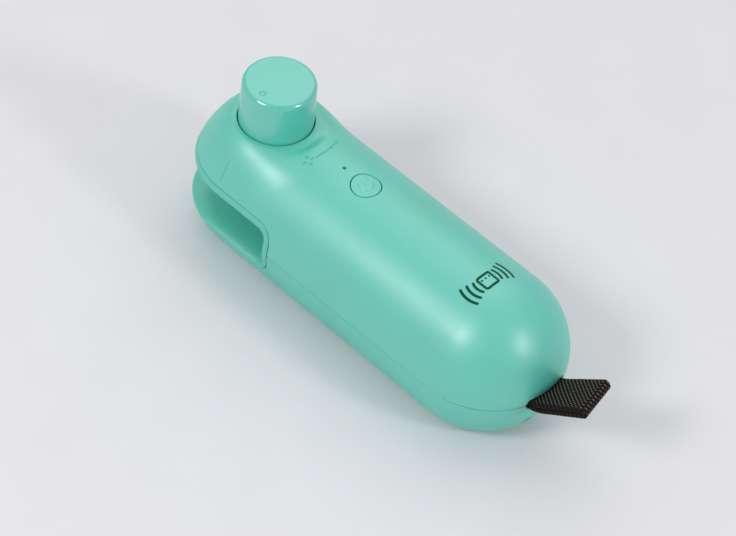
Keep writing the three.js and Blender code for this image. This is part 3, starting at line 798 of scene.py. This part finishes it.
def power_button():
    """The button's cap follows the surface round it, and its stem goes down to the switch."""
    turn = np.linspace(0, 2 * math.pi, 145)
    rows = []
    for r in np.linspace(0, BUTTON_R - EDGE, 60):
        x, y = r * np.cos(turn), r * np.sin(turn)
        height = top_height(BUTTON_X + x, y) - BUTTON_SINK - SIGN_DEPTH * engraved(x, y)
        rows.append(np.stack([BUTTON_X + x, y, height], -1))
    for a in arc(20, 90, 5):
        r = BUTTON_R - EDGE * (1 - math.sin(a))
        x, y = BUTTON_X + r * np.cos(turn), r * np.sin(turn)
        rows.append(np.stack([x, y, top_height(x, y) - BUTTON_SINK - EDGE * (1 - math.cos(a))], -1))
    foot = side("power_button", 2, 0)
    skirt = foot + BUTTON_SKIRT
    for r, z in ((BUTTON_R, skirt), (BUTTON_STEM_R, skirt), (BUTTON_STEM_R, foot), (0, foot)):
        rows.append(np.stack([BUTTON_X + r * np.cos(turn), r * np.sin(turn), 0 * turn + z], -1))
    return one_grid("PowerButton", np.stack(rows))


# ---------- printed mark ----------
def stroke(name, points):
    """A printed line on the upper surface, with round ends."""
    points = np.array(points, float)
    length = length_along(points)[-1]
    count = max(8, int(length / 0.08))
    along = length * (1 - np.cos(np.linspace(0, math.pi, count))) / 2
    x, y = points_at(points, along).T
    ahead = unit(np.stack([np.gradient(x), np.gradient(y)], -1))
    from_end = np.minimum(along, along[-1] - along)
    into_round = (1 - from_end / (MARK_LINE / 2)).clip(0)
    half = MARK_LINE / 2 * np.sqrt(np.clip(1 - into_round**2, 0.0, 1))
    top = [(sideways, MARK_LIFT) for sideways in (-1, 0, 1)]
    rows = []
    for sideways, lift in [(-1, -MARK_SINK), *top, (1, -MARK_SINK), (-1, -MARK_SINK)]:
        px, py = x - ahead[:, 1] * half * sideways, y + ahead[:, 0] * half * sideways
        rows.append(np.stack([px, py, top_height(px, py) + lift], -1))
    return one_grid(name, np.stack(rows))


def printed_mark():
    """A small generic pictogram: a pouch with a dashed seal line between arcs of warmth."""
    half, low, high, corner = 2.2, 2.0, -1.9, 0.6  # the pouch, whose bottom corners are round
    centre = low - corner
    outline = [(high, -half)]
    for a in arc(0, 90, 7):
        outline.append((centre + corner * math.sin(a), corner - half - corner * math.cos(a)))
    for a in arc(0, 90, 7):
        outline.append((centre + corner * math.cos(a), half - corner + corner * math.sin(a)))
    outline += [(high, half), (high, -half)]
    pieces = [stroke("PrintPouch", [(MARK_X + x, y) for x, y in outline])]
    seal_x, dash, dash_step = MARK_X - 0.75, 0.28, 1.3
    for i in range(3):
        y = dash_step * (i - 1)
        pieces.append(stroke(f"PrintSeal_{i + 1}", [(seal_x, y - dash), (seal_x, y + dash)]))
    first_r, r_step, half_turn, turn_step = 3.9, 1.75, 32, 3
    for letter, sign in (("A", -1), ("B", 1)):
        for i in range(3):
            r, end = first_r + r_step * i, half_turn - turn_step * i
            bow = [(MARK_X + r * math.sin(t), sign * r * math.cos(t)) for t in arc(-end, end, 24)]
            pieces.append(stroke(f"PrintArc_{letter}{i + 1}", bow))
    return pieces


# ---------- strap ----------
def strap_centre():
    """The middle line between the two plies, in X and Z, from the pin to the fold."""
    pin_low, pin_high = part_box("strap_pin")
    pin_x = (pin_low.x + pin_high.x) / 2 / MM
    end = side("carry_strap", 0, 1) - PLY - PLY_GAP - STRAP_SKEW * STRAP_HALF
    knots = [(TAIL_X + x, SEAM_Z + z) for x, z in STRAP_KNOTS]
    return smooth_path([(pin_x, SEAM_Z), *knots, (end, SEAM_Z + STRAP_RISE)], 90)


def strap_route():
    """The webbing's own middle line: out along the lower ply, round the fold and back on top."""
    centre = strap_centre()
    ahead, up = path_frame(centre)
    off = (PLY + PLY_GAP) / 2
    turn = arc(-90, 90, 16)[1:-1]
    fold = centre[-1] + off * (np.cos(turn)[:, None] * ahead[-1] + np.sin(turn)[:, None] * up[-1])
    loop = np.concatenate([centre - off * up, fold, (centre + off * up)[::-1]])
    length = length_along(loop)[-1]
    return points_at(loop, np.linspace(0, length, int(length / 0.15))), length


def strap_section():
    """The webbing cut across: places across it, heights, and 1 on its faces or ON_EDGE."""
    half = PLY / 2
    level = STRAP_HALF * np.linspace(-1, 1, 84)
    section = [(v, half, 1.0) for v in level]
    for a in arc(60, -60, 5):
        section.append((STRAP_HALF + SELVEDGE * math.cos(a), half * math.sin(a), ON_EDGE))
    section += [(v, -half, 1.0) for v in level[::-1]]
    for a in arc(-60, 60, 5):
        section.append((-STRAP_HALF - SELVEDGE * math.cos(a), half * math.sin(a), ON_EDGE))
    section.append(section[0])
    return np.array(section).T


def point_values(mesh, name, values):
    """Stores a value for each point of a strip whose two end rows are single points."""
    end = np.zeros((len(values), 1))
    attribute = mesh.attributes.new(name, "FLOAT", "POINT")
    attribute.data.foreach_set("value", np.concatenate([end, values, end], 1).ravel().astype(np.float32))


def strap():
    """Folded woven webbing: the weave is in the mesh, as raised threads in a brick pattern."""
    route, length = strap_route()
    up = path_frame(route)[1]
    along = np.linspace(0, length, len(route))
    across, lift, face = (column[:, None] for column in strap_section())
    rib = np.sin(math.pi * across / THREAD_ACROSS)
    pick = np.sin(math.pi * along / THREAD_ALONG)
    weave = (rib * pick * 0.5 + 0.5) * face
    stitch = (0.5 + 0.5 * np.sin(math.pi * along / STITCH)) * (1 - face) * 1.4
    rise = THREAD_RISE * (weave - 0.5) * face + STITCH_RISE * (stitch - 0.4) * (1 - face)
    level = lift + np.sign(lift) * rise
    x = route[:, 0] + up[:, 0] * level
    z = route[:, 1] + up[:, 1] * level
    y = across + np.sign(across) * rise * (face < 1) + 0 * x
    x = x - STRAP_SKEW * y * progress(x, SKEW)
    first, last = ((route[i, 0], 0, route[i, 1]) for i in (0, -1))
    work = Patchwork()
    work.grid(closed_ends(np.stack([x, y, z], -1), first, last))

    mesh = work.mesh("Strap")
    # painted light: the weave's height, which the webbing material turns into pale crowns (painted highlight)
    # and dark gaps (painted shade)
    point_values(mesh, "lit_crown", np.clip(weave + stitch * 0.45, 0, 1))
    near_edge = progress(np.abs(across), (STRAP_HALF - TRIM, STRAP_HALF))
    near_fold = np.exp(-(((along - length / 2) / FOLD_SPREAD) ** 2))
    point_values(mesh, "selvedge", np.maximum(near_edge, near_fold))
    return tidy_object("CarryStrap", mesh), length


# ---------- inner pieces ----------
def press_spring():
    low, high = (v.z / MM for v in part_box("press_spring"))
    radius = (side("press_spring", 1, 1) - side("press_spring", 1, 0)) / 2 - SPRING_WIRE_R
    t = np.linspace(0, 1, SPRING_TURNS * 40 + 1)
    a = t * SPRING_TURNS * 2 * math.pi
    rise = low + SPRING_WIRE_R + (high - low - 2 * SPRING_WIRE_R) * t
    path = np.stack([FRONT_X + radius * np.cos(a), radius * np.sin(a), rise], -1)
    return tube("PressSpring", path, SPRING_WIRE_R, 10), low, high


def ribbon():
    """The heater's flat lead from the press head to the board, with ridges along it."""
    start, end = side("heater_ribbon", 1, 0), side("heater_ribbon", 1, 1)
    centre = smooth_path(RIBBON_KNOTS, 60)
    up = path_frame(centre)[1] * RIBBON_HALF
    y = np.linspace(start, end, 25)
    thick = 1 + 0.4 * np.cos((y - start) / (end - start) * RIBBON_WAVES * 2 * math.pi)
    upper = [(v, t) for v, t in zip(y, thick)]
    lower = [(v, -t) for v, t in upper[::-1]]
    rows = []
    for v, t in upper + lower + upper[:1]:
        p = centre + up * t
        rows.append(np.stack([FRONT_X + p[:, 0], 0 * p[:, 0] + v, p[:, 1]], -1))
    block = np.stack(rows)
    return one_grid("HeaterRibbon", closed_ends(block, block[:, 0].mean(0), block[:, -1].mean(0)))


# ---------- materials ----------
PLASTIC_IOR = 1.62
GRAIN_DEPTH, CLOTH_DEPTH, FIBRE_DEPTH = 0.00002, 0.00005, 0.00004  # metres


def new_material(name):
    material = bpy.data.materials.new(name)
    material.use_nodes = True
    tree = material.node_tree
    return material, tree, tree.nodes["Principled BSDF"]


def noise(tree, scale, detail):
    coords = tree.nodes.new("ShaderNodeTexCoord")
    node = tree.nodes.new("ShaderNodeTexNoise")
    node.inputs["Scale"].default_value = scale
    node.inputs["Detail"].default_value = detail
    tree.links.new(coords.outputs["Object"], node.inputs["Vector"])
    return node


def ramp(tree, source, low, high, start=0.3, end=0.7):
    """A colour or grey ramp driven by a value."""
    node = tree.nodes.new("ShaderNodeValToRGB")
    node.color_ramp.elements[0].position = start
    node.color_ramp.elements[1].position = end
    for element, value in zip(node.color_ramp.elements, (low, high)):
        element.color = (*value, 1) if hasattr(value, "__len__") else (value, value, value, 1)
    tree.links.new(source, node.inputs["Fac"])
    return node.outputs["Color"]


def bump(tree, shader, height, strength, distance):
    node = tree.nodes.new("ShaderNodeBump")
    node.inputs["Strength"].default_value = strength
    node.inputs["Distance"].default_value = distance
    tree.links.new(height, node.inputs["Height"])
    tree.links.new(node.outputs["Normal"], shader.inputs["Normal"])


def shade_of(colour, factor):
    return tuple(min(1.0, c * factor) for c in colour)


def moulded(name, colour, rough, grain=0.25, grain_scale=5200, spread=0.03, variation=0.03, sheen=0.5):
    """Plastic or rubber with a fine grain, and slight drifts of colour and gloss."""
    material, tree, shader = new_material(name)
    drift = noise(tree, 45, 3)
    tones = shade_of(colour, 1 - variation), shade_of(colour, 1 + variation)
    tree.links.new(ramp(tree, drift.outputs["Fac"], *tones), shader.inputs["Base Color"])
    gloss = noise(tree, 160, 4)
    roughness = ramp(tree, gloss.outputs["Fac"], rough - spread, rough + spread)
    tree.links.new(roughness, shader.inputs["Roughness"])
    fine = noise(tree, grain_scale, 2)
    bump(tree, shader, fine.outputs["Fac"], grain, GRAIN_DEPTH)
    shader.inputs["Specular IOR Level"].default_value = sheen
    shader.inputs["IOR"].default_value = PLASTIC_IOR
    return material


def brushed(name, colour, rough):
    """Plated or machined metal with fine lines."""
    material, tree, shader = new_material(name)
    coords = tree.nodes.new("ShaderNodeTexCoord")
    stretch = tree.nodes.new("ShaderNodeMapping")
    stretch.inputs["Scale"].default_value = (300, 9000, 9000)
    lines = tree.nodes.new("ShaderNodeTexNoise")
    lines.inputs["Scale"].default_value = 1.0
    tree.links.new(coords.outputs["Object"], stretch.inputs["Vector"])
    tree.links.new(stretch.outputs["Vector"], lines.inputs["Vector"])
    value = lines.outputs["Fac"]
    tree.links.new(ramp(tree, value, rough - 0.08, rough + 0.08), shader.inputs["Roughness"])
    tree.links.new(ramp(tree, value, shade_of(colour, 0.9), colour), shader.inputs["Base Color"])
    bump(tree, shader, value, 0.15, GRAIN_DEPTH)
    shader.inputs["Metallic"].default_value = 1.0
    return material


def cloth(name, colour, lit_crown, scale):
    """A plain weave for coated glass cloth, with a lighter copy of its colour on the thread crowns as painted
    highlight and the darker colour in the gaps as painted shade.
    """
    material, tree, shader = new_material(name)
    coords = tree.nodes.new("ShaderNodeTexCoord")
    heights = []
    for axis in ("X", "Y"):
        wave = tree.nodes.new("ShaderNodeTexWave")
        wave.bands_direction = axis
        wave.inputs["Scale"].default_value = scale
        tree.links.new(coords.outputs["Object"], wave.inputs["Vector"])
        heights.append(wave.outputs["Fac"])
    product = tree.nodes.new("ShaderNodeMath")
    product.operation = "MULTIPLY"
    for i, height in enumerate(heights):
        tree.links.new(height, product.inputs[i])
    # painted light: the weave's height sets lighter crowns (painted highlight) and darker gaps (painted
    # shade)
    tree.links.new(ramp(tree, product.outputs[0], colour, lit_crown, 0.1, 0.9), shader.inputs["Base Color"])
    bump(tree, shader, product.outputs[0], 0.4, CLOTH_DEPTH)
    shader.inputs["Roughness"].default_value = 0.6
    return material


def webbing():
    """Dark polyester webbing, browner along its edges; its thread crowns are painted pale as painted
    highlight and its gaps near black as painted shade.
    """
    material, tree, shader = new_material("webbing")
    lit_crown = tree.nodes.new("ShaderNodeAttribute")
    lit_crown.attribute_name = "lit_crown"
    edge = tree.nodes.new("ShaderNodeAttribute")
    edge.attribute_name = "selvedge"
    # painted light: the weave's height turns the colour from near black in the gaps (painted shade) to pale
    # on the crowns (painted highlight)
    face = ramp(tree, lit_crown.outputs["Fac"], (0.002, 0.002, 0.002), (0.36, 0.34, 0.29), 0.7, 1.0)
    # the browner tone of the edges and the fold, with the same painted shade in the gaps and painted
    # highlight on the crowns
    brown = ramp(tree, lit_crown.outputs["Fac"], (0.006, 0.004, 0.004), (0.11, 0.07, 0.06), 0.45, 1.0)
    mix = tree.nodes.new("ShaderNodeMix")
    mix.data_type = "RGBA"
    tree.links.new(edge.outputs["Fac"], mix.inputs["Factor"])
    tree.links.new(face, mix.inputs["A"])
    tree.links.new(brown, mix.inputs["B"])
    tree.links.new(mix.outputs["Result"], shader.inputs["Base Color"])
    fibre = noise(tree, 9000, 3)
    bump(tree, shader, fibre.outputs["Fac"], 0.5, FIBRE_DEPTH)
    shader.inputs["Roughness"].default_value = 0.85
    shader.inputs["Specular IOR Level"].default_value = 0.15
    return material


def clear_plastic():
    material, tree, shader = new_material("clear_plastic")
    haze = noise(tree, 400, 2).outputs["Fac"]
    tree.links.new(ramp(tree, haze, 0.05, 0.14), shader.inputs["Roughness"])
    tree.links.new(ramp(tree, haze, (0.03, 0.2, 0.15), (0.04, 0.25, 0.19)), shader.inputs["Base Color"])
    return material


MINT = (0.098, 0.575, 0.458)
SLOTS = {
    "shell_mint": lambda: moulded("shell_mint", MINT, 0.42, grain=0.25, sheen=1.0),
    "liner_mint": lambda: moulded("liner_mint", (0.09, 0.55, 0.43), 0.42, grain=0.4, sheen=0.8),
    "knob_mint": lambda: moulded("knob_mint", MINT, 0.16, grain=0.04, spread=0.02, sheen=1.0),
    "silicone": lambda: moulded("silicone", (0.2, 0.5, 0.42), 0.7, grain=0.5),
    "black_nylon": lambda: moulded("black_nylon", (0.03, 0.03, 0.032), 0.5),
    "white_nylon": lambda: moulded("white_nylon", (0.78, 0.77, 0.72), 0.5),
    "steel": lambda: brushed("steel", (0.6, 0.6, 0.62), 0.3),
    "heater_aluminium": lambda: brushed("heater_aluminium", (0.62, 0.63, 0.65), 0.38),
    # the second colour is a lighter copy of the first: painted highlight on the weave's crowns
    "ptfe_cloth": lambda: cloth("ptfe_cloth", (0.28, 0.16, 0.07), (0.5, 0.3, 0.14), 700),
    "circuit_board": lambda: moulded("circuit_board", (0.02, 0.13, 0.06), 0.4, variation=0.2),
    "clear_plastic": clear_plastic,
    "cell_wrap": lambda: moulded("cell_wrap", (0.04, 0.16, 0.42), 0.35, grain=0.1),
    "red_wire": lambda: moulded("red_wire", (0.4, 0.02, 0.02), 0.45),
    "black_wire": lambda: moulded("black_wire", (0.02, 0.02, 0.02), 0.45),
    "ribbon_film": lambda: moulded("ribbon_film", (0.55, 0.2, 0.03), 0.3, grain=0.05, variation=0.15),
    "webbing": webbing,
}
MATERIALS = {slot: make() for slot, make in SLOTS.items()}
INK = moulded("dark_ink", (0.001, 0.08, 0.034), 0.6, grain=0.1, sheen=0.1)


def finish_cad_nodes():
    """Each carried-over CAD node takes the material of its slot in the record."""
    for row in frame["record"]["subparts"]:
        o = frame["nodes"][row["node"]]
        o.data.materials.clear()
        o.data.materials.append(MATERIALS[row["material_slot"]])


def place(o, body, slot, *nodes, material=None):
    """Gives a new piece the material of its slot or the given material, puts it under its body and hides the
    CAD nodes that it stands for.
    """
    o.data.materials.clear()
    o.data.materials.append(material or MATERIALS[slot])
    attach(o, body)
    if nodes:
        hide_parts(*nodes)
    return o


# ---------- camera, floor and light ----------
TARGET = np.array([-7.17, -4.09, 16.5]) * MM  # what the camera and the lights point at
AZIMUTH, ELEVATION, ROLL, DISTANCE = 37.87, 48.51, 8.49, 0.68426
LENS, SENSOR = 127.17, 36
FLOOR_COLOUR = (0.77, 0.765, 0.79)
FLOOR_Z = -0.2
SKY_COLOUR, SKY_STRENGTH = (0.97, 0.97, 1.0), 0.53


def direction(azimuth, elevation):
    """Unit vector from the object; azimuth 0 is -Y and 90 is +X."""
    a, e = math.radians(azimuth), math.radians(elevation)
    return np.array([math.sin(a) * math.cos(e), -math.cos(a) * math.cos(e), math.sin(e)])


def make_camera():
    back = direction(AZIMUTH, ELEVATION)
    right = unit(np.cross((0, 0, 1), back))
    up = np.cross(back, right)
    roll = math.radians(ROLL)
    x = math.cos(roll) * right + math.sin(roll) * up
    y = -math.sin(roll) * right + math.cos(roll) * up
    data = bpy.data.cameras.new("camera")
    data.lens, data.sensor_width = LENS, SENSOR
    data.clip_start, data.clip_end = 0.01, 20
    camera = bpy.data.objects.new("camera", data)
    turn = Matrix(np.stack([x, y, back], -1).tolist()).to_4x4()
    camera.matrix_world = Matrix.Translation(TARGET + back * DISTANCE) @ turn
    bpy.context.scene.collection.objects.link(camera)
    bpy.context.scene.camera = camera


def softbox(name, azimuth, elevation, distance, width, height, power):
    data = bpy.data.lights.new(name, "AREA")
    data.shape, data.size, data.size_y, data.energy = "RECTANGLE", width, height, power
    light = bpy.data.objects.new(name, data)
    back = Vector(direction(azimuth, elevation))
    light.location = Vector(TARGET) + back * distance
    light.rotation_euler = back.to_track_quat("Z", "Y").to_euler()
    bpy.context.scene.collection.objects.link(light)


def make_floor():
    bm = bmesh.new()
    bmesh.ops.create_grid(bm, x_segments=8, y_segments=8, size=2.0)
    mesh = bpy.data.meshes.new("floor")
    bm.to_mesh(mesh)
    bm.free()
    floor = bpy.data.objects.new("floor", mesh)
    floor.location.z = FLOOR_Z * MM
    bpy.context.scene.collection.objects.link(floor)
    paper = moulded("floor", FLOOR_COLOUR, 0.7, grain=0.2, grain_scale=900, variation=0.012)
    floor.data.materials.append(paper)


def make_world():
    world = bpy.data.worlds.new("studio")
    world.use_nodes = True
    shader = world.node_tree.nodes["Background"]
    shader.inputs["Color"].default_value = (*SKY_COLOUR, 1)
    shader.inputs["Strength"].default_value = SKY_STRENGTH
    bpy.context.scene.world = world


# ---------- assembly ----------
bpy.context.scene.view_settings.view_transform = "Standard"
finish_cad_nodes()
make_camera()
make_floor()
make_world()
softbox("key", azimuth=-13, elevation=43, distance=0.9, width=0.24, height=0.2, power=2.5)
softbox("rear", azimuth=102, elevation=32, distance=0.9, width=0.15, height=0.12, power=1.5)
softbox("overhead", azimuth=214, elevation=56, distance=1.3, width=1.4, height=1.4, power=5.0)

place(upper_shell(), "housing", "shell_mint", "upper_shell")
place(lower_shell(), "housing", "shell_mint", "lower_shell")
place(mouth_liner(), "housing", "liner_mint", "mouth_liner")
place(knob(), "knob", "knob_mint", "press_knob")
place(power_button(), "button", "shell_mint", "power_button")

pad_low, pad_high = (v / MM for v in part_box("seal_pad"))
place(rounded_block("SealPad", pad_low, pad_high, PAD_EDGE), "housing", "silicone", "seal_pad")

for piece in printed_mark():
    place(piece, "housing", None, material=INK)

webbing_strap, strap_length = strap()
place(webbing_strap, "housing", "webbing", "carry_strap")

spring, spring_low, spring_high = press_spring()
place(spring, "housing", "steel", "press_spring")
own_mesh(spring)

lead = ribbon()
lead.data.materials.append(MATERIALS["ribbon_film"])
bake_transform(lead)
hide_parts("heater_ribbon")
